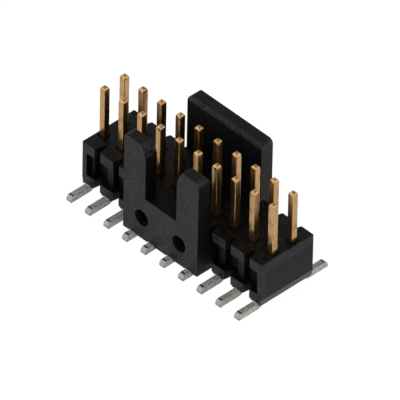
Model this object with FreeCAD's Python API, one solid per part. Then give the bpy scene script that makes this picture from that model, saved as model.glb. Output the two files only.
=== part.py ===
"""Two-row surface-mount pin header with a slotted front wall and a plain rear wall.

A black moulded housing carries two rows of square pins. Each pin stands up
as a contact post, goes down through the housing, turns outwards in a groove
of its underside and steps down to a flat foot for a solder pad. The two walls
stand outside the rows: they guide a socket between them, and the slot in the
front one takes its key.

Frame: millimetres, Z up, X along the rows, the slotted wall towards -Y.
The origin is on the circuit board, under the middle of the pin grid.
"""
import FreeCAD
import Part
import os
from math import acos, cos, radians, sin, sqrt

Vector = FreeCAD.Vector

# Pin grid
positions = 10
pitch = 2.54
row_gap = 2.54

# Pins: one square wire each
pin_side = 0.68
pin_edge_break = 0.03
post_height = 6.07
post_taper_length = 0.60
post_taper_end = 0.26
bend_radius_inside = 0.35
run_height = 0.68
run_length = 0.30
foot_reach = 5.77
foot_round_length = 0.38
foot_round_height = 0.38
foot_end_chamfer = 0.07

# Housing block between the walls
board_gap = 0.60
block_height = 5.07
block_depth = 6.68
end_margin = 0.76
end_relief_in = 0.12
end_relief_up = 0.75

# Side cells, one at each position, with a notch between neighbours
top_flange_height = 1.16
bottom_flange_height = 1.22
notch_mouth = 0.81
notch_depth = 1.25
notch_foot_chamfer_in = 0.41
notch_foot_chamfer_up = 0.23
recess_depth = 1.15
rib_width = 0.78
rib_set_back = 0.55
end_wall = 0.55

# Holes and grooves for the pins
pin_fit = 0.0
funnel_depth = 0.20
funnel_flare = 0.19
groove_side_gap = 0.10
groove_top_gap = 0.06

# Front and rear walls
wall_width = 10.06
wall_thickness = 1.47
front_wall_height = 6.31
rear_wall_height = 6.34
slot_width = 4.24
slot_lead_in_side = 0.65
slot_lead_in_height = 1.40
front_corner_radius = 0.30
rear_corner_radius = 0.50
wall_bevel_in = 0.22
wall_bevel_down = 0.50

# Two round blind holes in the front wall
core_hole_radius = 0.90
core_hole_spacing = 5.08
core_hole_drop = 2.57
core_hole_depth = 1.90

# The path of a pin, measured outwards from its post and up from the board.
# The heel turns the post into a level run. Two equal bends, one back from the
# other, step the run down to the foot, so the step's height sets their angle.
half_pin = pin_side / 2
bend_radius_outside = bend_radius_inside + pin_side
bend_radius_middle = bend_radius_inside + half_pin
foot_tip = foot_reach - row_gap / 2
heel_out = bend_radius_middle
heel_up = run_height + bend_radius_outside
step_angle = acos(1 - run_height / (2 * bend_radius_middle))
step_out = heel_out + run_length
step_up = run_height - bend_radius_inside
foot_out = step_out + 2 * bend_radius_middle * sin(step_angle)
foot_up = bend_radius_outside

# Places that follow from the sizes
block_bottom = board_gap
block_top = block_bottom + block_height
block_length = (positions - 1) * pitch + 2 * end_margin
half_length = block_length / 2
half_depth = block_depth / 2
wall_outside = half_depth + wall_thickness
post_top = block_top + post_height
waist_bottom = block_bottom + bottom_flange_height
waist_top = block_top - top_flange_height

# How far a cutter runs on past the face that it opens
BEYOND = 1.0


def column_x(index):
    """X of the pins at one position, counted from 0 at the -X end."""
    return (index - (positions - 1) / 2) * pitch


def boundary_x():
    """X of the middle of each notch, between neighbouring positions."""
    return [column_x(i) + pitch / 2 for i in range(positions - 1)]


def box(x0, x1, y0, y1, z0, z1):
    """A box between two corners."""
    return Part.makeBox(x1 - x0, y1 - y0, z1 - z0, Vector(x0, y0, z0))


def square_frustum(low_half, high_half, low, high):
    """A four-sided funnel about the Z axis, from half widths at two heights."""
    wedge = Part.makeWedge(
        -low_half, 0, -low_half, -high_half, -high_half,
        low_half, high - low, low_half, high_half, high_half,
    )
    wedge.rotate(Vector(0, 0, 0), Vector(1, 0, 0), 90)
    wedge.translate(Vector(0, 0, low))
    return wedge


def solid_from(points, direction):
    """A polygon swept straight along a direction."""
    face = Part.Face(Part.makePolygon(points + points[:1]))
    return face.extrude(direction)


def both_sides(shape):
    """A shape of the front side, with its copy on the rear side."""
    return [shape, shape.mirror(Vector(0, 0, 0), Vector(0, 1, 0))]


def end_section():
    """The block with its two ends relieved at their foot."""
    outer = half_length
    inner = half_length - end_relief_in
    relief_top = block_bottom + end_relief_up
    points = [
        Vector(-inner, -half_depth, block_bottom),
        Vector(inner, -half_depth, block_bottom),
        Vector(outer, -half_depth, relief_top),
        Vector(outer, -half_depth, block_top),
        Vector(-outer, -half_depth, block_top),
        Vector(-outer, -half_depth, relief_top),
    ]
    return solid_from(points, Vector(0, block_depth, 0))


def notch_cutters():
    """Vee notches between the positions, with a flare at their foot."""
    cutters = []
    front = -half_depth
    flare_half = notch_mouth / 2 + notch_foot_chamfer_in
    flare_height = notch_foot_chamfer_up * flare_half / notch_foot_chamfer_in
    for x in boundary_x():
        slant = notch_mouth / 2 * (notch_depth + BEYOND) / notch_depth
        vee = solid_from(
            [
                Vector(x - slant, front - BEYOND, block_bottom - BEYOND),
                Vector(x + slant, front - BEYOND, block_bottom - BEYOND),
                Vector(x, front + notch_depth, block_bottom - BEYOND),
            ],
            Vector(0, 0, block_height + 2 * BEYOND),
        )
        flare = solid_from(
            [
                Vector(x - flare_half, front - BEYOND, block_bottom),
                Vector(x + flare_half, front - BEYOND, block_bottom),
                Vector(x, front - BEYOND, block_bottom + flare_height),
            ],
            Vector(0, notch_depth + BEYOND, 0),
        )
        cutters += both_sides(vee) + both_sides(flare)
    return cutters


def waist_cutters():
    """The sunk band round the block's waist, which leaves a rib at each position."""
    cutters = []
    front = -half_depth
    inside = half_length - end_wall
    floor = front + recess_depth
    edges = [-inside]
    for i in range(positions):
        edges += [column_x(i) - rib_width / 2, column_x(i) + rib_width / 2]
    edges += [inside]
    for left, right in zip(edges[0::2], edges[1::2]):
        if right > left:
            bay = box(left, right, front - BEYOND, floor, waist_bottom, waist_top)
            cutters += both_sides(bay)
    band = box(-inside, inside, front - BEYOND, front + rib_set_back, waist_bottom, waist_top)
    return cutters + both_sides(band)


def arc_about(out, up, radius, start, stop):
    """An arc in the pin's side view, between two angles from straight down, in radians."""
    middle = (start + stop) / 2
    points = [Vector(0, out + radius * sin(a), up - radius * cos(a)) for a in (start, middle, stop)]
    return Part.Arc(*points).toShape()


def joined(edges, more):
    """A list of arcs as one closed face, with straight lines across its gaps."""
    chain = []
    for edge, after in zip(edges, edges[1:] + edges[:1]):
        chain.append(edge)
        end = edge.lastVertex(True).Point
        start = after.firstVertex(True).Point
        if end.distanceToPoint(start) > 1e-6:
            chain.append(Part.makeLine(end, start))
    return Part.Face(Part.Wire(chain)).extrude(more)


def groove_for_pin():
    """The groove in the underside that a pin's heel, run and step lie in, towards +Y."""
    half_width = half_pin + groove_side_gap
    gap = groove_top_gap
    low = -BEYOND
    back = -half_pin - pin_fit
    front = wall_outside + BEYOND
    roof = [
        Part.makeLine(Vector(0, front, low), Vector(0, back, low)),
        Part.makeLine(Vector(0, back, low), Vector(0, back, heel_up)),
        arc_about(heel_out, heel_up, bend_radius_inside - gap, -radians(90), 0),
        arc_about(step_out, step_up, bend_radius_outside + gap, radians(180), radians(180) - step_angle),
        arc_about(foot_out, foot_up, bend_radius_inside - gap, -step_angle, 0),
        Part.makeLine(Vector(0, front, pin_side + gap), Vector(0, front, low)),
    ]
    groove = joined(roof, Vector(2 * half_width, 0, 0))
    groove.translate(Vector(-half_width, 0, 0))
    return groove


def pin_cutters():
    """A square hole for each pin, with a funnel above it and a groove under it."""
    cutters = []
    hole_half = half_pin + pin_fit
    funnel_top_half = hole_half + funnel_flare * (1 + BEYOND / funnel_depth)
    groove = groove_for_pin()
    groove.rotate(Vector(0, 0, 0), Vector(0, 0, 1), 180)
    for i in range(positions):
        x = column_x(i)
        y = -row_gap / 2
        hole = box(
            x - hole_half, x + hole_half, y - hole_half, y + hole_half,
            block_bottom - BEYOND, block_top + BEYOND,
        )
        funnel = square_frustum(
            hole_half, funnel_top_half, block_top - funnel_depth, block_top + BEYOND
        )
        funnel.translate(Vector(x, y, 0))
        way_out = groove.copy()
        way_out.translate(Vector(x, y, 0))
        cutters += both_sides(hole) + both_sides(funnel) + both_sides(way_out)
    return cutters


def rounded_top_outline(half_width, bottom, top, radius, y):
    """Edges of a wall's sides and round corners, from its top right to its top left."""
    right = half_width
    turn = radius * (1 - cos(radians(45)))
    return [
        Part.Arc(
            Vector(right - radius, y, top),
            Vector(right - turn, y, top - turn),
            Vector(right, y, top - radius),
        ).toShape(),
        Part.makeLine(Vector(right, y, top - radius), Vector(right, y, bottom)),
        Part.makeLine(Vector(right, y, bottom), Vector(-right, y, bottom)),
        Part.makeLine(Vector(-right, y, bottom), Vector(-right, y, top - radius)),
        Part.Arc(
            Vector(-right, y, top - radius),
            Vector(-right + turn, y, top - turn),
            Vector(-right + radius, y, top),
        ).toShape(),
    ]


def wall_root():
    """The solid stretch of block behind both walls, where no waist is sunk."""
    half_width = wall_width / 2
    depth = half_depth - recess_depth
    root = box(-half_width, half_width, -wall_outside, -depth, block_bottom, block_top)
    return both_sides(root)


def lead_in_cutter(top):
    """The bevel along the inner top edge of a front wall of the given height."""
    inner = -half_depth
    points = [
        Vector(-wall_width, inner + BEYOND, top + BEYOND),
        Vector(-wall_width, inner - wall_bevel_in * (1 + BEYOND / wall_bevel_down), top + BEYOND),
        Vector(-wall_width, inner, top - wall_bevel_down),
        Vector(-wall_width, inner + BEYOND, top - wall_bevel_down),
    ]
    return solid_from(points, Vector(2 * wall_width, 0, 0))


def front_wall():
    """The wall with two towers and the key slot between them."""
    top = block_top + front_wall_height
    half_slot = slot_width / 2
    outer = rounded_top_outline(wall_width / 2, block_bottom, top, front_corner_radius, -wall_outside)
    lead_foot = top - slot_lead_in_height
    path = [
        Vector(-wall_width / 2 + front_corner_radius, -wall_outside, top),
        Vector(-half_slot - slot_lead_in_side, -wall_outside, top),
        Vector(-half_slot, -wall_outside, lead_foot),
        Vector(-half_slot, -wall_outside, block_top),
        Vector(half_slot, -wall_outside, block_top),
        Vector(half_slot, -wall_outside, lead_foot),
        Vector(half_slot + slot_lead_in_side, -wall_outside, top),
        Vector(wall_width / 2 - front_corner_radius, -wall_outside, top),
    ]
    inner = [Part.makeLine(a, b) for a, b in zip(path[:-1], path[1:])]
    face = Part.Face(Part.Wire(outer + inner))
    wall = face.extrude(Vector(0, wall_thickness, 0))
    return wall.cut(lead_in_cutter(top))


def rear_wall():
    """The plain wall with round top corners."""
    top = block_top + rear_wall_height
    outer = rounded_top_outline(wall_width / 2, block_bottom, top, rear_corner_radius, -wall_outside)
    ends = [
        Vector(-wall_width / 2 + rear_corner_radius, -wall_outside, top),
        Vector(wall_width / 2 - rear_corner_radius, -wall_outside, top),
    ]
    face = Part.Face(Part.Wire(outer + [Part.makeLine(*ends)]))
    wall = face.extrude(Vector(0, wall_thickness, 0)).cut(lead_in_cutter(top))
    return wall.mirror(Vector(0, 0, 0), Vector(0, 1, 0))


def core_holes():
    """The two round blind holes in the front wall."""
    holes = []
    for side in (-1, 1):
        start = Vector(side * core_hole_spacing / 2, -wall_outside, block_top - core_hole_drop)
        holes.append(Part.makeCylinder(core_hole_radius, core_hole_depth, start, Vector(0, 1, 0)))
    return holes


def make_housing():
    """The one moulded piece: block, cells, walls and all its holes."""
    block = end_section().cut(notch_cutters())
    block = block.cut(waist_cutters())
    block = block.fuse(wall_root() + [front_wall(), rear_wall()])
    block = block.cut(pin_cutters() + core_holes())
    return block.removeSplitter()


def pin_below_post():
    """Heel, run, step and foot of a pin, drawn from its side and swept across it.

    Y is measured outwards from the post's middle. The foot ends in a round
    brow above and a small chamfer below, as the cutting tool leaves it.
    """
    brow = pin_side - foot_round_height
    turn = 1 - cos(radians(45))
    outline = [
        arc_about(heel_out, heel_up, bend_radius_outside, -radians(90), 0),
        arc_about(step_out, step_up, bend_radius_inside, radians(180), radians(180) - step_angle),
        arc_about(foot_out, foot_up, bend_radius_outside, -step_angle, 0),
        Part.makeLine(
            Vector(0, foot_tip - foot_end_chamfer, 0),
            Vector(0, foot_tip, foot_end_chamfer),
        ),
        Part.Arc(
            Vector(0, foot_tip, brow),
            Vector(0, foot_tip - turn * foot_round_length, pin_side - turn * foot_round_height),
            Vector(0, foot_tip - foot_round_length, pin_side),
        ).toShape(),
        arc_about(foot_out, foot_up, bend_radius_inside, 0, -step_angle),
        arc_about(step_out, step_up, bend_radius_outside, radians(180) - step_angle, radians(180)),
        arc_about(heel_out, heel_up, bend_radius_inside, 0, -radians(90)),
    ]
    bar = joined(outline, Vector(pin_side, 0, 0))
    bar.translate(Vector(-half_pin, 0, 0))
    return bar


def taper_outline(end, length, end_width):
    """Points of a bar's outline that narrows in two steps over its last stretch.

    The first step takes half of the length and a third of the narrowing, so
    that the end looks swaged and round, not like a plain pyramid.
    """
    shoulder = half_pin - (half_pin - end_width / 2) / 3
    return [
        (half_pin, end - length),
        (shoulder, end - length / 2),
        (end_width / 2, end),
    ]


def tapered_bar(start, end, length, end_width):
    """A square bar along Z whose top narrows on all four sides."""
    right = [(half_pin, start)] + taper_outline(end, length, end_width)
    left = [(-x, z) for x, z in reversed(right)]
    points = [Vector(x, -half_pin, z) for x, z in right + left]
    one_way = solid_from(points, Vector(0, pin_side, 0))
    other_way = one_way.copy()
    other_way.rotate(Vector(0, 0, 0), Vector(0, 0, 1), 90)
    return one_way.common(other_way)


def make_post():
    """The upright contact post on the Z axis, with its arrises broken."""
    post = tapered_bar(heel_up, post_top, post_taper_length, post_taper_end)
    across = half_pin * sqrt(2) - pin_edge_break / sqrt(2)
    diamond = box(-across, across, -across, across, heel_up, post_top)
    diamond.rotate(Vector(0, 0, 0), Vector(0, 0, 1), 45)
    return post.common(diamond)


def make_pin():
    """One pin of the rear row, with its post on the Z axis and its foot towards +Y."""
    return pin_below_post().fuse(make_post()).removeSplitter()


def write(shape, name):
    """Writes one named piece, after a look at its health."""
    assert shape.isValid(), name
    assert len(shape.Solids) == 1, name
    shape.Solids[0].exportStep("parts/" + name + ".step")


def main():
    os.makedirs("parts", exist_ok=True)
    write(make_housing(), "housing")
    pin = make_pin()
    for i in range(positions):
        rear = pin.copy()
        rear.translate(Vector(column_x(i), row_gap / 2, 0))
        write(rear, "pin_rear_%02d" % (i + 1))
        front = pin.copy()
        front.rotate(Vector(0, 0, 0), Vector(0, 0, 1), 180)
        front.translate(Vector(column_x(i), -row_gap / 2, 0))
        write(front, "pin_front_%02d" % (i + 1))


main()
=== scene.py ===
# %% [markdown]
# A surface-mount pin header, dressed for a product picture.
#
# The real object is one black moulding with twenty square wires pressed
# through it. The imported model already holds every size, so this lesson only
# adds what a camera sees from close by: arrises that are softly broken, the
# swaged ends of the wires, the two platings and the grain of the moulding.

import bmesh
import bpy
import numpy as np
from mathutils import Matrix, Vector


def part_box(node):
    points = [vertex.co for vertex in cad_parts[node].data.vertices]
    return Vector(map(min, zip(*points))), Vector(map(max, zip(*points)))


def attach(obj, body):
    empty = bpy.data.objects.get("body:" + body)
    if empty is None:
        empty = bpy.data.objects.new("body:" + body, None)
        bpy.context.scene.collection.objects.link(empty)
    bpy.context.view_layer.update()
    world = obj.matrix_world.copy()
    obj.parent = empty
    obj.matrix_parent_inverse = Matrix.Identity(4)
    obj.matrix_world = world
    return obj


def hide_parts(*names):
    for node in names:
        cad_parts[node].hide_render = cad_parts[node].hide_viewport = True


MM = 0.001
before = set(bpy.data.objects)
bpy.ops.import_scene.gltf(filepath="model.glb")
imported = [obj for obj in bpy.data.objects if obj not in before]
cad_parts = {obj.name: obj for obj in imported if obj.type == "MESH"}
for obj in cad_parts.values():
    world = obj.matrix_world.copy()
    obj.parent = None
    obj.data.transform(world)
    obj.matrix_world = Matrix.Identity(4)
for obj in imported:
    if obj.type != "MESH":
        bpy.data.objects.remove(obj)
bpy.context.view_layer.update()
print("nodes in the frame:", len(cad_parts))

# %% [markdown]
# The camera. A product picture of such a small part is taken from far away
# with a long lens, so the rows stay almost parallel. The camera is placed by
# three angles and a distance, and the lens follows from how many picture
# points one millimetre covers.

# %% Camera
PICTURE_SIDE = 400
SENSOR = 36.0
AZIMUTH = 45.59
ELEVATION = 40.81
ROLL = 1.195
DISTANCE = 1430 * MM
POINTS_PER_MM = 10.635
AIM_RIGHT = 0.303 * MM
AIM_UP = 3.125 * MM
NEAREST = 0.01
FARTHEST = 20


def camera_axes(azimuth, elevation, roll):
    """Right, up and back of a camera that looks at the origin.

    Azimuth 0 looks along +Y, and the camera climbs by the elevation. The
    roll then turns right and up about the line of sight.
    """
    a, e, r = np.radians([azimuth, elevation, roll])
    back = np.array([np.sin(a) * np.cos(e), -np.cos(a) * np.cos(e), np.sin(e)])
    level = np.array([np.cos(a), np.sin(a), 0.0])
    above = np.cross(back, level)
    right = np.cos(r) * level + np.sin(r) * above
    up = np.cos(r) * above - np.sin(r) * level
    return right, up, back


right, up, back = camera_axes(AZIMUTH, ELEVATION, ROLL)
place = AIM_RIGHT * right + AIM_UP * up + DISTANCE * back
camera_data = bpy.data.cameras.new("picture_camera")
camera_data.sensor_width = SENSOR
camera_data.lens = POINTS_PER_MM / MM * DISTANCE * SENSOR / PICTURE_SIDE
camera_data.clip_start = NEAREST
camera_data.clip_end = FARTHEST
camera = bpy.data.objects.new("picture_camera", camera_data)
axes = Matrix([right, up, back]).transposed().to_4x4()
camera.matrix_world = Matrix.Translation(place) @ axes
bpy.context.scene.collection.objects.link(camera)
bpy.context.scene.camera = camera
print("lens in millimetres:", round(camera_data.lens))

# %% [markdown]
# One helper makes every new closed mesh. It takes points and faces, measures
# the signed volume of the shape by summing the cones from the origin to its
# triangles, and turns the faces over if the volume comes out negative.

# %% Mesh helper
FLAT_FACES_FIRST = 100


def link_piece(name, mesh, material):
    """Puts a mesh in the scene as one smooth piece with one material."""
    mesh.materials.clear()
    mesh.materials.append(material)
    mesh.shade_smooth()
    piece = bpy.data.objects.new(name, mesh)
    bpy.context.scene.collection.objects.link(piece)
    return piece


def signed_volume(mesh):
    """Six times each cone's volume is the triple product of its three corners."""
    mesh.calc_loop_triangles()
    corners = np.zeros(len(mesh.loop_triangles) * 3, int)
    mesh.loop_triangles.foreach_get("vertices", corners)
    points = np.zeros(len(mesh.vertices) * 3)
    mesh.vertices.foreach_get("co", points)
    a, b, c = points.reshape(-1, 3)[corners.reshape(-1, 3)].transpose(1, 0, 2)
    return np.einsum("ij,ij->i", a, np.cross(b, c)).sum() / 6


def closed_mesh(name, points, faces):
    """A mesh whose faces all point outwards."""
    mesh = bpy.data.meshes.new(name)
    mesh.from_pydata(points.tolist(), [], faces)
    if signed_volume(mesh) < 0:
        mesh.flip_normals()
    return mesh


def weigh_normals(piece):
    """Large flat faces keep their own normal, and only the rounds between them turn."""
    finish = piece.modifiers.new("flat faces stay flat", "WEIGHTED_NORMAL")
    finish.mode = "FACE_AREA"
    finish.weight = FLAT_FACES_FIRST


# %% [markdown]
# Black moulding. The real plastic is a glass-filled resin. It is so black that
# what one sees of it is mostly the pale table in its dull shine. The short
# glass fibres lie just under the skin and show as pale flecks, greenish in
# some places, bluish and paler in others. So the base colour is nearly black.
# One fine noise scatters the flecks, a broad one tells where they are bluish,
# and a still finer one adds single pale specks.

# %% Node helpers
MASK_EDGE = 0.05 * MM


def new_material(name):
    """A material with its nodes, its shader and its Object coordinates."""
    material = bpy.data.materials.new(name)
    material.use_nodes = True
    nodes = material.node_tree.nodes
    shader = nodes["Principled BSDF"]
    coordinates = nodes.new("ShaderNodeTexCoord")
    return material, shader, coordinates.outputs["Object"]


def stretched(material, vector, scale):
    """The coordinates multiplied by one number for each axis."""
    node = material.node_tree.nodes.new("ShaderNodeMapping")
    node.inputs["Scale"].default_value = scale
    material.node_tree.links.new(vector, node.inputs["Vector"])
    return node.outputs["Vector"]


def noise(material, vector, size, detail=3.0, roughness=0.55):
    """Soft noise whose blobs are about one size across, in metres."""
    node = material.node_tree.nodes.new("ShaderNodeTexNoise")
    node.inputs["Scale"].default_value = 1 / size
    node.inputs["Detail"].default_value = detail
    node.inputs["Roughness"].default_value = roughness
    material.node_tree.links.new(vector, node.inputs["Vector"])
    return node.outputs["Fac"]


def remap(material, value, low, high, to_low=0.0, to_high=1.0, smooth=False):
    """A value carried from one range to another, held at both ends."""
    node = material.node_tree.nodes.new("ShaderNodeMapRange")
    node.interpolation_type = "SMOOTHSTEP" if smooth else "LINEAR"
    for socket, number in zip(node.inputs[1:5], (low, high, to_low, to_high)):
        socket.default_value = number
    material.node_tree.links.new(value, node.inputs["Value"])
    return node.outputs["Result"]


def blend_colours(material, factor, first, second):
    """One colour where the factor is 0 and the other where it is 1."""
    node = material.node_tree.nodes.new("ShaderNodeMix")
    node.data_type = "RGBA"
    material.node_tree.links.new(factor, node.inputs["Factor"])
    for socket, colour in ((node.inputs["A"], first), (node.inputs["B"], second)):
        if isinstance(colour, tuple):
            socket.default_value = (*colour, 1)
        else:
            material.node_tree.links.new(colour, socket)
    return node.outputs["Result"]


def combine(material, operation, first, second=0.0):
    """Two values, or a value and a number, put through one operation."""
    node = material.node_tree.nodes.new("ShaderNodeMath")
    node.operation = operation
    for socket, value in zip(node.inputs, (first, second)):
        if isinstance(value, float):
            socket.default_value = value
        else:
            material.node_tree.links.new(value, socket)
    return node.outputs[0]


def both(material, first, second):
    """The product of two masks, which is 1 only where both are 1."""
    return combine(material, "MULTIPLY", first, second)


def magnitude(material, value):
    """The value without its sign."""
    return combine(material, "ABSOLUTE", value)


def step_up(material, value, limit):
    """0 below the limit and 1 from one mask edge above it."""
    return remap(material, value, limit, limit + MASK_EDGE)


def step_down(material, value, limit):
    """1 up to one mask edge below the limit and 0 above it."""
    return remap(material, value, limit - MASK_EDGE, limit, 1, 0)


def split_axes(material, vector):
    """The three coordinates as single values."""
    node = material.node_tree.nodes.new("ShaderNodeSeparateXYZ")
    material.node_tree.links.new(vector, node.inputs["Vector"])
    return node.outputs["X"], node.outputs["Y"], node.outputs["Z"]


def raise_surface(material, shader, height, distance, strength=1.0):
    """A bump of the given height in metres."""
    node = material.node_tree.nodes.new("ShaderNodeBump")
    node.inputs["Strength"].default_value = strength
    node.inputs["Distance"].default_value = distance
    material.node_tree.links.new(height, node.inputs["Height"])
    material.node_tree.links.new(node.outputs["Normal"], shader.inputs["Normal"])


# %% [markdown]
# Masks on the moulding. Most are bounded by plain limits on the coordinates,
# with a soft edge of five hundredths of a millimetre. An end face has three
# fields: a strip along its foot that carries a painted reflection of the white
# table, a smooth panel, and a rim above and in front of the panel, which fades
# into it over half a millimetre. The height of the block and half its depth
# repeat the CAD model's sizes, because the frame gives only the box of the
# whole moulding.

# %% Fields of the end faces
BLOCK_TOP = 5.67 * MM
BLOCK_FRONT = 3.34 * MM
# Height of the strip along the foot of each end that carries a painted reflection of the white
# table.
PAINTED_SHEEN_HEIGHT = 0.75 * MM
END_DEPTH = 0.20 * MM
RIM_TOP = 1.15 * MM
RIM_FRONT = 0.75 * MM
TURN_OVER = 0.25 * MM


def end_masks(material, place):
    """Three masks of the end faces: the painted strip, the smooth panel and the rim.

    The painted strip runs along the foot of an end: its pale colour is a
    painted reflection of the white table. The smooth panel is the rest of
    that end but for the rim under its top edge and along its front edge, and
    it turns into the rim little by little.
    """
    low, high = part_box("housing")
    x, y, z = split_axes(material, place)
    at_end = step_up(material, magnitude(material, x), high.x - END_DEPTH)
    # The strip along the foot of an end gets a painted reflection of the white table.
    painted_sheen_and_bare_end = both(material, at_end, step_down(material, z, low.z + PAINTED_SHEEN_HEIGHT))
    rim_low = BLOCK_TOP - RIM_TOP
    rim_back = RIM_FRONT - BLOCK_FRONT
    under_rim = remap(material, z, rim_low - TURN_OVER, rim_low + TURN_OVER, 1, 0, True)
    behind_rim = remap(material, y, rim_back - TURN_OVER, rim_back + TURN_OVER, 0, 1, True)
    panel = both(material, at_end, both(material, under_rim, behind_rim))
    return painted_sheen_and_bare_end, panel, combine(material, "SUBTRACT", at_end, panel)


print("height of an end's rim in millimetres:", round(RIM_TOP / MM, 3))

# %% [markdown]
# The mould is rough in some places and smooth in others, and where it is
# rough the skin of the resin is open and shows its flecks. Each place below
# has a share: 0 shows no fleck, and more than 1 shows more than the plain
# outer face of a wall does. On the bevels, round corners and lead-ins the share
# is well above 1, which is partly flecks and partly a painted highlight on
# faces that catch the lamp. The limits lie a little inside the faces that they
# mark, so that the whole face is past the soft edge.

# %% Where the skin lies open
WALL_OUT = 4.72 * MM
CROWN_LOW = 10.5 * MM
BEVEL_BACK = 3.63 * MM
BEVEL_LOW = 11.47 * MM
CORNER_SIDE = 4.58 * MM
LEAD_SIDE = 2.83 * MM
LEAD_LOW = 10.58 * MM
PATCH = 0.8 * MM
PATCH_DETAIL = 4.0
PATCH_RANGE = (0.46, 0.62)
STREAK = 0.40 * MM
STREAK_STRETCH = 0.12
STREAK_RANGE = (0.45, 0.65)
WALL_SHARE = 1.0
CELL_SHARE = 1.10
DECK_SHARE = 0.75
CROWN_SHARE = 0.55
# Bevels, round corners and lead-ins get a share well above 1, so they read lighter: partly flecks,
# partly a painted highlight.
BEVEL_FLECKS_AND_HIGHLIGHT = 1.80
RIM_SHARE = 0.90
CLOSED_SHARE = 0.12


def open_skin(material, place, rim):
    """The largest share of all the places that a point of the surface lies in.

    The flecks lie open on the rim of an end, on the outer faces of the two
    walls, on the fronts of the cells, on the bevels and round corners of the
    walls and on the lead-ins of the key slot. On the bevels, round corners and
    lead-ins their high share is partly a painted highlight. They show in streaks
    on the walls' tops and in patches on the block's top, and only faintly
    elsewhere.
    """
    x, y, z = split_axes(material, place)
    along = magnitude(material, x)
    off_middle = magnitude(material, y)
    off_cell = magnitude(material, combine(material, "SUBTRACT", off_middle, BLOCK_FRONT))
    under_top = step_down(material, z, BLOCK_TOP - MASK_EDGE)
    on_top = step_up(material, z, BLOCK_TOP - MASK_EDGE)
    in_bevel = step_up(material, z, BEVEL_LOW)
    patches = noise(material, place, PATCH, detail=PATCH_DETAIL)
    patches = both(material, on_top, remap(material, patches, *PATCH_RANGE))
    streaks = noise(material, stretched(material, place, (STREAK_STRETCH, 1, 1)), STREAK)
    streaks = remap(material, streaks, *STREAK_RANGE)
    streaks = both(material, step_up(material, z, CROWN_LOW), streaks)
    past_block = step_up(material, off_middle, BLOCK_FRONT + MASK_EDGE)
    on_front_wall = step_down(material, y, -BLOCK_FRONT)
    at_slot = both(material, step_down(material, along, LEAD_SIDE), on_front_wall)
    places = (
        (rim, RIM_SHARE),
        (step_up(material, off_middle, WALL_OUT), WALL_SHARE),
        (both(material, step_down(material, off_cell, MASK_EDGE), under_top), CELL_SHARE),
        (both(material, step_down(material, off_middle, BLOCK_FRONT), patches), DECK_SHARE),
        (both(material, past_block, streaks), CROWN_SHARE),
        # The next three places read lighter than their flecks alone would make them: partly a
        # painted highlight.
        (both(material, step_down(material, off_middle, BEVEL_BACK), in_bevel), BEVEL_FLECKS_AND_HIGHLIGHT),
        (both(material, step_up(material, along, CORNER_SIDE), in_bevel), BEVEL_FLECKS_AND_HIGHLIGHT),
        (both(material, at_slot, step_up(material, z, LEAD_LOW)), BEVEL_FLECKS_AND_HIGHLIGHT),
    )
    skin = CLOSED_SHARE
    for mask, share in places:
        skin = combine(material, "MAXIMUM", combine(material, "MULTIPLY", mask, share), skin)
    return skin


print("share of flecks on a wall and elsewhere:", WALL_SHARE, CLOSED_SHARE)

# %% Black moulding finish
GRAIN = 0.30 * MM
GRAIN_DETAIL = 4.0
GRAIN_ROUGHNESS = 0.62
GRAIN_RANGE = (0.36, 0.66)
GRAIN_HEIGHT = 0.022 * MM
CLOUDS = 1.5 * MM
CLOUD_DETAIL = 2.0
CLOUD_RANGE = (0.38, 0.62)
SPECK = 0.11 * MM
SPECK_DETAIL = 1.0
SPECK_RANGE = (0.66, 0.74)
RESIN = (0.0010, 0.0010, 0.0011)
FLECK_GREENISH = (0.0165, 0.0172, 0.0160)
FLECK_BLUISH = (0.0300, 0.0280, 0.0380)
SPECK_PALE = (0.045, 0.044, 0.050)
SMOOTH_PANEL = (0.0020, 0.0020, 0.0021)
PANEL_SHARE = 0.85
# A painted reflection: this pale grey along the foot of each end stands for the white table seen
# in its lowest edge.
PAINTED_TABLE_SHEEN = (0.082, 0.082, 0.083)
SHINE_RANGE = (0.3, 0.7)
RESIN_ROUGHNESS = (0.42, 0.58)
RESIN_SHINE = 0.145


def make_plastic():
    """Black resin with pale flecks in clouds, smooth end panels and a painted pale reflection
    along the foot of each end.
    """
    material, shader, place = new_material("black_moulding")
    link = material.node_tree.links.new
    grain = noise(material, place, GRAIN, detail=GRAIN_DETAIL, roughness=GRAIN_ROUGHNESS)
    clouds = noise(material, place, CLOUDS, detail=CLOUD_DETAIL)
    specks = noise(material, place, SPECK, detail=SPECK_DETAIL)
    painted_sheen_and_bare_end, panel, rim = end_masks(material, place)
    skin = open_skin(material, place, rim)
    bluish = remap(material, clouds, *CLOUD_RANGE)
    fleck = blend_colours(material, bluish, FLECK_GREENISH, FLECK_BLUISH)
    share = both(material, remap(material, grain, *GRAIN_RANGE), skin)
    colour = blend_colours(material, share, RESIN, fleck)
    bright = both(material, remap(material, specks, *SPECK_RANGE), skin)
    colour = blend_colours(material, bright, colour, SPECK_PALE)
    smooth = remap(material, panel, 0, 1, 0, PANEL_SHARE)
    colour = blend_colours(material, smooth, colour, SMOOTH_PANEL)
    # Painted reflection of the white table along the foot of each end.
    colour = blend_colours(material, painted_sheen_and_bare_end, colour, PAINTED_TABLE_SHEEN)
    link(colour, shader.inputs["Base Color"])
    link(remap(material, grain, *SHINE_RANGE, *RESIN_ROUGHNESS), shader.inputs["Roughness"])
    shader.inputs["Specular IOR Level"].default_value = RESIN_SHINE
    raise_surface(material, shader, grain, GRAIN_HEIGHT)
    return material


plastic = make_plastic()
print("moulding grain in millimetres:", GRAIN / MM)

# %% [markdown]
# Plating. The wire is gold on the post, where a socket's spring touches it,
# and tin on the foot, where it is soldered. The change lies inside the
# moulding. One material does both, because each wire is one piece: the height
# above the board decides. Drawing the wire leaves fine lines along it, so the
# noise is stretched along Z on the post and along Y on the foot. The punch
# that shapes the tip leaves it duller than the flanks, so the tip scatters part
# of its light. The tin is matt and grainy and scatters most of it.

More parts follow.
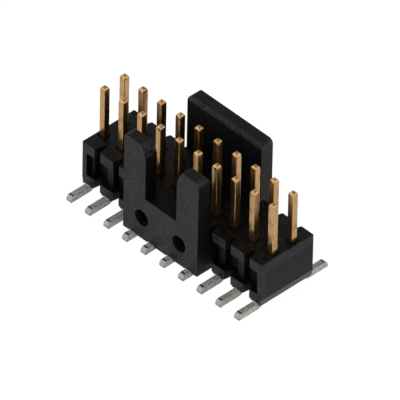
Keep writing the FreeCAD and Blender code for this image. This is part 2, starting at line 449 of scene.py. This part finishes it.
# %% Colours and grain of the plating
GOLD = (0.51, 0.315, 0.144)
GOLD_DEEP = (0.42, 0.237, 0.090)
GOLD_STAIN = (0.27, 0.14, 0.060)
GOLD_ROUGHNESS = 0.22
GOLD_METAL = 0.97
TIN = (0.64, 0.63, 0.585)
TIN_DULL = (0.22, 0.21, 0.19)
TIN_ROUGHNESS = 0.50
TIN_METAL = 0.15
PLATING_LOW = 2.4 * MM
PLATING_HIGH = 3.2 * MM
LINE_WIDTH = 0.07 * MM
LINE_STRETCH = 0.035
LINE_HEIGHT = 0.003 * MM
LINE_STRENGTH = 0.4
POST_LINE_RANGE = (0.35, 0.65)
FOOT_LINE_RANGE = (0.25, 0.70)
STAIN = 0.55 * MM
STAIN_STRETCH = 0.5
STAIN_RANGE = (0.50, 0.68)
STAIN_SHARE = 0.8
TIN_GRAIN = 0.20 * MM
CRYSTAL_RANGE = (0.45, 0.64)
CRYSTAL_SHARE = 0.8
POST_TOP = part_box("pin_front_01")[1].z
TIP_FROM = POST_TOP - 0.30 * MM
TIP_TO = POST_TOP - 0.12 * MM
TIP_DULL = 0.18
TIP_MATT = 0.40
print("width of the drawn lines in millimetres:", round(LINE_WIDTH / MM, 3))

# %% [markdown]
# Each foot carries a short dark line across its top, near its end, where the
# top begins to turn down into the brow: a painted reflection of the dark
# ceiling. The end itself was cut after plating, so the base metal shows there,
# and a painted shade darkens it at the sole, where the end would mirror the
# shadow on the floor.

# %% Painted brow reflection, cut end and painted sole shade
# The first colour is a painted reflection of the dark ceiling in each foot's brow, the second the
# bare base metal, and the third a painted shade at the sole.
PAINTED_BROW_REFLECTION = (0.008, 0.007, 0.006)
BARE_END = (0.37, 0.325, 0.290)
PAINTED_SOLE_SHADE = (0.060, 0.050, 0.042)
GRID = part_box("pin_front_02")[0].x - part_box("pin_front_01")[0].x
MARK_OUT = 5.39 * MM
MARK_HALF = 0.090 * MM
MARK_FADE = 0.4
MARK_LOW = 0.58 * MM
MARK_LOW_EDGE = 0.02 * MM
MARK_SIDE = 0.23 * MM
MARK_SIDE_EDGE = 0.03 * MM
CUT_RANGE = (5.50 * MM, 5.68 * MM)
CUT_SHARE = 0.75
# The painted shade at the sole of each end reaches up to this height.
SOLE_HIGH = 0.26 * MM
SOLE_RANGE = (SOLE_HIGH / 3, SOLE_HIGH)
SOLE_SHARE = 1.2


def painted_brow_reflection_mask(material, place):
    """1 on the short painted reflection across each foot, which ends a little before its +X side.

    The distance from the middle of a wire is x with whole grid steps taken
    away, and the wires stand half a step off the middle of the row.
    """
    x, y, z = split_axes(material, place)
    wrap = material.node_tree.nodes.new("ShaderNodeMath")
    wrap.operation = "WRAP"
    material.node_tree.links.new(combine(material, "ADD", x, GRID / 2), wrap.inputs[0])
    wrap.inputs[1].default_value = GRID / 2
    wrap.inputs[2].default_value = -GRID / 2
    off = magnitude(material, combine(material, "SUBTRACT", magnitude(material, y), MARK_OUT))
    along = remap(material, off, MARK_HALF * (1 - MARK_FADE), MARK_HALF * (1 + MARK_FADE), 1, 0)
    side = (MARK_SIDE - MARK_SIDE_EDGE, MARK_SIDE + MARK_SIDE_EDGE)
    across = remap(material, wrap.outputs[0], *side, 1, 0)
    above = remap(material, z, MARK_LOW - MARK_LOW_EDGE, MARK_LOW + MARK_LOW_EDGE)
    return both(material, along, both(material, across, above))


def cut_end(material, place):
    """Masks of the bare end of the foot, where the base metal shows, and of its lowest edge, where
    a painted shade darkens it.
    """
    y, z = split_axes(material, place)[1:]
    painted_sheen_and_bare_end = remap(material, magnitude(material, y), *CUT_RANGE, 0, CUT_SHARE)
    return painted_sheen_and_bare_end, both(material, remap(material, z, *SOLE_RANGE, SOLE_SHARE, 0), painted_sheen_and_bare_end)


# The dark lines across the feet are painted reflections; this is their distance off the middle.
print("painted reflections lie this far off the middle, in millimetres:", round(MARK_OUT / MM, 3))

# %% Wire plating


def make_plating():
    """Gold above the moulding and tin below it, both with lines along the wire."""
    material, shader, place = new_material("wire_plating")
    link = material.node_tree.links.new
    height = split_axes(material, place)[2]
    on_post = remap(material, height, PLATING_LOW, PLATING_HIGH, smooth=True)
    post_lines = noise(material, stretched(material, place, (1, 1, LINE_STRETCH)), LINE_WIDTH)
    foot_lines = noise(material, stretched(material, place, (1, LINE_STRETCH, 1)), LINE_WIDTH)
    stains = noise(material, stretched(material, place, (1, 1, STAIN_STRETCH)), STAIN)
    crystals = noise(material, place, TIN_GRAIN)
    gold = blend_colours(material, remap(material, post_lines, *POST_LINE_RANGE), GOLD_DEEP, GOLD)
    stained = remap(material, stains, *STAIN_RANGE, 0.0, STAIN_SHARE)
    gold = blend_colours(material, stained, gold, GOLD_STAIN)
    tin = blend_colours(material, remap(material, foot_lines, *FOOT_LINE_RANGE), TIN_DULL, TIN)
    grainy = remap(material, crystals, *CRYSTAL_RANGE, 0.0, CRYSTAL_SHARE)
    tin = blend_colours(material, grainy, tin, TIN_DULL)
    painted_sheen_and_bare_end, sole_shade_mask = cut_end(material, place)
    tin = blend_colours(material, painted_sheen_and_bare_end, tin, BARE_END)
    # A painted shade darkens the end at the sole, where it would mirror the shadow on the floor.
    tin = blend_colours(material, sole_shade_mask, tin, PAINTED_SOLE_SHADE)
    # A dark line across each foot's top, near the brow, is a painted reflection of the dark
    # ceiling.
    tin = blend_colours(material, painted_brow_reflection_mask(material, place), tin, PAINTED_BROW_REFLECTION)
    link(blend_colours(material, on_post, tin, gold), shader.inputs["Base Color"])
    at_tip = remap(material, height, TIP_FROM, TIP_TO)
    dull = remap(material, on_post, 0, 1, TIN_ROUGHNESS, GOLD_ROUGHNESS)
    more = combine(material, "MULTIPLY", at_tip, TIP_DULL)
    link(combine(material, "ADD", dull, more), shader.inputs["Roughness"])
    metal = remap(material, on_post, 0, 1, TIN_METAL, GOLD_METAL)
    less = combine(material, "MULTIPLY", at_tip, TIP_MATT)
    link(combine(material, "SUBTRACT", metal, less), shader.inputs["Metallic"])
    raise_surface(material, shader, post_lines, LINE_HEIGHT, LINE_STRENGTH)
    return material


plating = make_plating()
heights = [round(height / MM, 3) for height in (PLATING_LOW, PLATING_HIGH)]
print("plating changes between these heights in millimetres:", heights)

# %% [markdown]
# The wires. Each pin is a square wire carried along a path: down the post,
# round the heel under the moulding, and down one step to the foot. The section
# is a square with round corners. The post is swaged to a blunt and slightly
# domed tip. The foot is cut off, which rounds its upper edge like a brow. All
# rings are worked out at once as one array.

# %% Sizes of a wire, read from the frame
pin_low, pin_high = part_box("pin_front_01")
WIRE = pin_high.x - pin_low.x
ROW_OUT = -pin_high.y + WIRE / 2
FOOT_REACH = -pin_low.y - ROW_OUT
ARRIS = 0.060 * MM
BEND_INSIDE = 0.35 * MM
RUN_HEIGHT = 0.68 * MM
RUN_LENGTH = 0.30 * MM
TIP_DROP = np.array([0, 0.012, 0.05, 0.105, 0.175, 0.25, 0.34, 0.46]) * MM
TIP_SHARE = np.array([0.09, 0.19, 0.37, 0.59, 0.79, 0.91, 0.975, 1.0])
TIP_CORNER = 0.30
THIN_CORNER = 0.45
CORNER_POINTS = 4
HEEL_RINGS = 9
STEP_RINGS = 7
BROW_RINGS = 11
FOOT_BROW = 0.38 * MM
FOOT_CHAMFER = 0.07 * MM
print("wire side in millimetres:", round(WIRE / MM, 3), "grid:", round(GRID / MM, 3))


# %% The path of a wire and the size of its section


def arc_rings(out, up, radius, headings):
    """Rings along an arc: the centre plus the radius times the heading's normal.

    A positive radius turns over a centre that lies under the wire, and a
    negative one over a centre that lies above it.
    """
    return np.stack([out + radius * np.sin(headings), up + radius * np.cos(headings), headings])


def wire_rings():
    """Rings along the wire: outward, upward, heading, half width, half thickness, corner.

    The heading is 90 degrees on the post, which runs down. The heel turns it
    to 0, the step tips it down and back again, and the foot lies level. At
    the tip both half sizes are the wire's own, times the share for each drop
    below the top, and the corners shrink with them.
    """
    middle = BEND_INSIDE + WIRE / 2
    run_up = RUN_HEIGHT + WIRE / 2
    step = np.arccos(1 - RUN_HEIGHT / (2 * middle))
    step_out = middle + RUN_LENGTH
    foot_out = step_out + 2 * middle * np.sin(step)
    tips = len(TIP_DROP)
    post = np.stack([np.zeros(tips), POST_TOP - TIP_DROP, np.full(tips, np.pi / 2)])
    heel = arc_rings(middle, run_up + middle, -middle, np.linspace(np.pi / 2, 0, HEEL_RINGS))
    tip_down = arc_rings(step_out, run_up - middle, middle, np.linspace(0, step, STEP_RINGS))
    rising = np.linspace(step, 0, STEP_RINGS)[1:]
    level_out = arc_rings(foot_out, WIRE / 2 + middle, -middle, rising)
    turn = np.linspace(0, np.pi / 2, BROW_RINGS)
    brow_out = FOOT_REACH - FOOT_BROW * (1 - np.sin(turn))
    brow_top = WIRE - FOOT_BROW * (1 - np.cos(turn))
    brow_bottom = np.maximum(0, brow_out - (FOOT_REACH - FOOT_CHAMFER))
    brow = np.stack([brow_out, (brow_top + brow_bottom) / 2, np.zeros(BROW_RINGS)])
    path = np.concatenate([post, heel, tip_down, level_out, brow], axis=1)
    wide = np.full(path.shape[1], WIRE / 2)
    wide[:tips] = WIRE / 2 * TIP_SHARE
    thick = wide.copy()
    thick[-BROW_RINGS:] = (brow_top - brow_bottom) / 2
    corner = np.minimum(ARRIS, thick * THIN_CORNER)
    corner[:tips] = np.minimum(ARRIS, wide[:tips] * TIP_CORNER)
    return path, wide, thick, corner


def round_cornered(wide, thick, corner):
    """Points of rectangles with round corners, one row for each ring.

    Each corner is a quarter circle about a centre that lies one corner radius
    inside both sides.
    """
    quarter = np.linspace(0, np.pi / 2, CORNER_POINTS)
    start = np.arange(4)[:, None] * np.pi / 2
    angles = (start + quarter).ravel()
    middles = (start + np.full(CORNER_POINTS, np.pi / 4)).ravel()
    across = (wide - corner)[:, None] * np.sign(np.cos(middles)) + corner[:, None] * np.cos(angles)
    along = (thick - corner)[:, None] * np.sign(np.sin(middles)) + corner[:, None] * np.sin(angles)
    return across, along


def tube_faces(rings, points):
    """Quads between neighbouring rings of points, and a face over each end."""
    ring = np.arange(rings - 1)[:, None] * points
    step = np.arange(points)
    after = (step + 1) % points
    beyond = ring + points
    quads = np.stack([ring + step, ring + after, beyond + after, beyond + step], axis=-1)
    ends = [list(range(points)), list(range((rings - 1) * points, rings * points))]
    return quads.reshape(-1, 4).tolist() + ends


def wire_mesh(name, x, side):
    """One wire. Side is -1 for the front row, whose foot points to -Y, and 1 for the rear."""
    (out, height, heading), wide, thick, corner = wire_rings()
    across, along = round_cornered(wide, thick, corner)
    px = x + across
    py = side * (ROW_OUT + out[:, None] + along * np.sin(heading)[:, None])
    pz = height[:, None] + along * np.cos(heading)[:, None]
    points = np.stack([px, py, pz], axis=-1).reshape(-1, 3)
    return closed_mesh(name, points, tube_faces(*across.shape))


# %% Twenty wires, one for each CAD pin
POSITIONS = 10

for row, side in (("front", -1), ("rear", 1)):
    for number in range(1, POSITIONS + 1):
        node = f"pin_{row}_{number:02d}"
        low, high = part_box(node)
        mesh = wire_mesh(node + "_wire", (low.x + high.x) / 2, side)
        wire = link_piece(f"plated_{node}", mesh, plating)
        weigh_normals(wire)
        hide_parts(node)
        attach(wire, "root")
print("volume of one wire in cubic millimetres:", round(signed_volume(wire.data) / MM**3, 3))

# %% [markdown]
# The moulding. Its form is already right in the frame, but its edges are
# knife-sharp, and no mould makes that. A copy of the CAD mesh has its loose
# triangles merged into whole faces, and a Bevel modifier rounds every sharp edge
# by seven hundredths of a millimetre, so that it catches a thin line of light.

# %% Moulding with broken edges
EDGE_ROUND = 0.07 * MM
WELD = 0.0005 * MM
SHARP = np.radians(25)
FLAT = np.radians(0.5)
ROUND_SEGMENTS = 2


def merged_copy(node, name):
    """A copy of a CAD node whose triangles are welded and joined into flat faces."""
    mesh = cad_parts[node].data.copy()
    mesh.name = name
    work = bmesh.new()
    work.from_mesh(mesh)
    bmesh.ops.remove_doubles(work, verts=work.verts, dist=WELD)
    bmesh.ops.dissolve_limit(work, angle_limit=FLAT, verts=work.verts, edges=work.edges)
    work.to_mesh(mesh)
    work.free()
    return mesh


moulding = link_piece("moulded_housing", merged_copy("housing", "moulded_housing"), plastic)
rounding = moulding.modifiers.new("broken edges", "BEVEL")
rounding.width = EDGE_ROUND
rounding.segments = ROUND_SEGMENTS
rounding.limit_method = "ANGLE"
rounding.angle_limit = SHARP
weigh_normals(moulding)
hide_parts("housing")
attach(moulding, "root")
print("faces of the moulding before its edges are rounded:", len(moulding.data.polygons))

# %% [markdown]
# Floor, backdrop and light. The picture stands on plain white. The floor
# shows white to the camera and to reflections, and still takes the shadow
# from the lamps. Black resin and plating both show what lies around them, so
# the tent is white at its foot and dark above. The largest soft lamp stands
# low at the front left, because the tops are the darkest faces in the
# picture, and two weaker ones light the right end and the edges behind it.

# %% Floor and world
FLOOR_SIDE = 3.0
FLOOR_DROP = 0.01 * MM
FLOOR_GREY = 0.80
FLOOR_GLOW = 0.93
GLOW_STRENGTH = 1.05
SIDES = 1.20
CEILING = 0.06
PALE_UP_TO = 0.40
DARK_FROM = 0.73


def mix_shaders(tree, factor, first, second, output):
    """One shader where the factor is 0 and the other where it is 1, sent to the output."""
    mix = tree.nodes.new("ShaderNodeMixShader")
    for source, socket in zip((factor, first, second), mix.inputs):
        tree.links.new(source, socket)
    tree.links.new(mix.outputs["Shader"], tree.nodes[output].inputs["Surface"])


def sees_background(tree):
    """1 for camera, reflection and transmission rays, and 0 for the rest."""
    rays = tree.nodes.new("ShaderNodeLightPath")
    result = rays.outputs["Is Camera Ray"]
    for kind in ("Is Glossy Ray", "Is Transmission Ray"):
        larger = tree.nodes.new("ShaderNodeMath")
        larger.operation = "MAXIMUM"
        tree.links.new(result, larger.inputs[0])
        tree.links.new(rays.outputs[kind], larger.inputs[1])
        result = larger.outputs[0]
    return result


def make_floor():
    """A wide plain sheet just under the feet."""
    half = FLOOR_SIDE / 2
    corners = np.array([[-1, -1], [1, -1], [1, 1], [-1, 1]]) * half
    points = np.column_stack([corners, np.full(4, -FLOOR_DROP)])
    mesh = bpy.data.meshes.new("floor")
    mesh.from_pydata(points.tolist(), [], [(0, 1, 2, 3)])
    floor = bpy.data.objects.new("floor", mesh)
    bpy.context.scene.collection.objects.link(floor)
    material = bpy.data.materials.new("white_floor")
    material.use_nodes = True
    tree = material.node_tree
    shader = tree.nodes["Principled BSDF"]
    shader.inputs["Base Color"].default_value = (FLOOR_GREY, FLOOR_GREY, FLOOR_GREY, 1)
    shader.inputs["Roughness"].default_value = 1.0
    shader.inputs["Specular IOR Level"].default_value = 0.0
    glow = tree.nodes.new("ShaderNodeEmission")
    glow.inputs["Strength"].default_value = GLOW_STRENGTH
    share = tree.nodes.new("ShaderNodeMath")
    share.operation = "MULTIPLY"
    share.inputs[1].default_value = FLOOR_GLOW
    tree.links.new(sees_background(tree), share.inputs[0])
    plain, glowing = shader.outputs["BSDF"], glow.outputs["Emission"]
    mix_shaders(tree, share.outputs[0], plain, glowing, "Material Output")
    mesh.materials.append(material)


def make_world():
    """A light tent: pale sides, a dark ceiling, and white where the camera looks past the floor.

    The grey falls with the height of the direction, which is the Z of the
    world's own coordinates: 0 at the horizon and 1 straight up.
    """
    world = bpy.data.worlds.new("studio")
    world.use_nodes = True
    tree = world.node_tree
    background = tree.nodes["Background"]
    direction = tree.nodes.new("ShaderNodeTexCoord")
    split = tree.nodes.new("ShaderNodeSeparateXYZ")
    fade = tree.nodes.new("ShaderNodeMapRange")
    fade.interpolation_type = "SMOOTHSTEP"
    for socket, number in zip(fade.inputs[1:5], (PALE_UP_TO, DARK_FROM, SIDES, CEILING)):
        socket.default_value = number
    tree.links.new(direction.outputs["Generated"], split.inputs["Vector"])
    tree.links.new(split.outputs["Z"], fade.inputs["Value"])
    tree.links.new(fade.outputs["Result"], background.inputs["Strength"])
    background.inputs["Color"].default_value = (1, 1, 1, 1)
    white = tree.nodes.new("ShaderNodeBackground")
    white.inputs["Color"].default_value = (1, 1, 1, 1)
    camera_ray = tree.nodes.new("ShaderNodeLightPath").outputs["Is Camera Ray"]
    tent, backdrop = background.outputs["Background"], white.outputs["Background"]
    mix_shaders(tree, camera_ray, tent, backdrop, "World Output")
    bpy.context.scene.world = world


make_floor()
make_world()
print("side of the floor in metres:", FLOOR_SIDE)

# %% [markdown]
# The lamps. Each has five numbers: azimuth and elevation in degrees, distance
# and side in metres, and power in watts.

# %% Lamps
LAMPS = {
    "key_front_left": (-34, 34, 0.40, 0.36, 0.66),
    "fill_right": (80, 35, 0.45, 0.28, 0.25),
    "rim_right": (124, 18, 0.45, 0.24, 0.25),
}


def add_lamp(name, azimuth, elevation, distance, side, power):
    """A square soft lamp that faces the origin from the given direction."""
    lamp_right, lamp_up, lamp_back = camera_axes(azimuth, elevation, 0)
    data = bpy.data.lights.new(name, "AREA")
    data.shape = "SQUARE"
    data.size = side
    data.energy = power
    lamp = bpy.data.objects.new(name, data)
    turn = Matrix([lamp_right, lamp_up, lamp_back]).transposed().to_4x4()
    lamp.matrix_world = Matrix.Translation(Vector(lamp_back) * distance) @ turn
    bpy.context.scene.collection.objects.link(lamp)


for name, numbers in LAMPS.items():
    add_lamp(name, *numbers)
bpy.context.scene.view_settings.view_transform = "Standard"
print("soft lamps:", len(LAMPS))
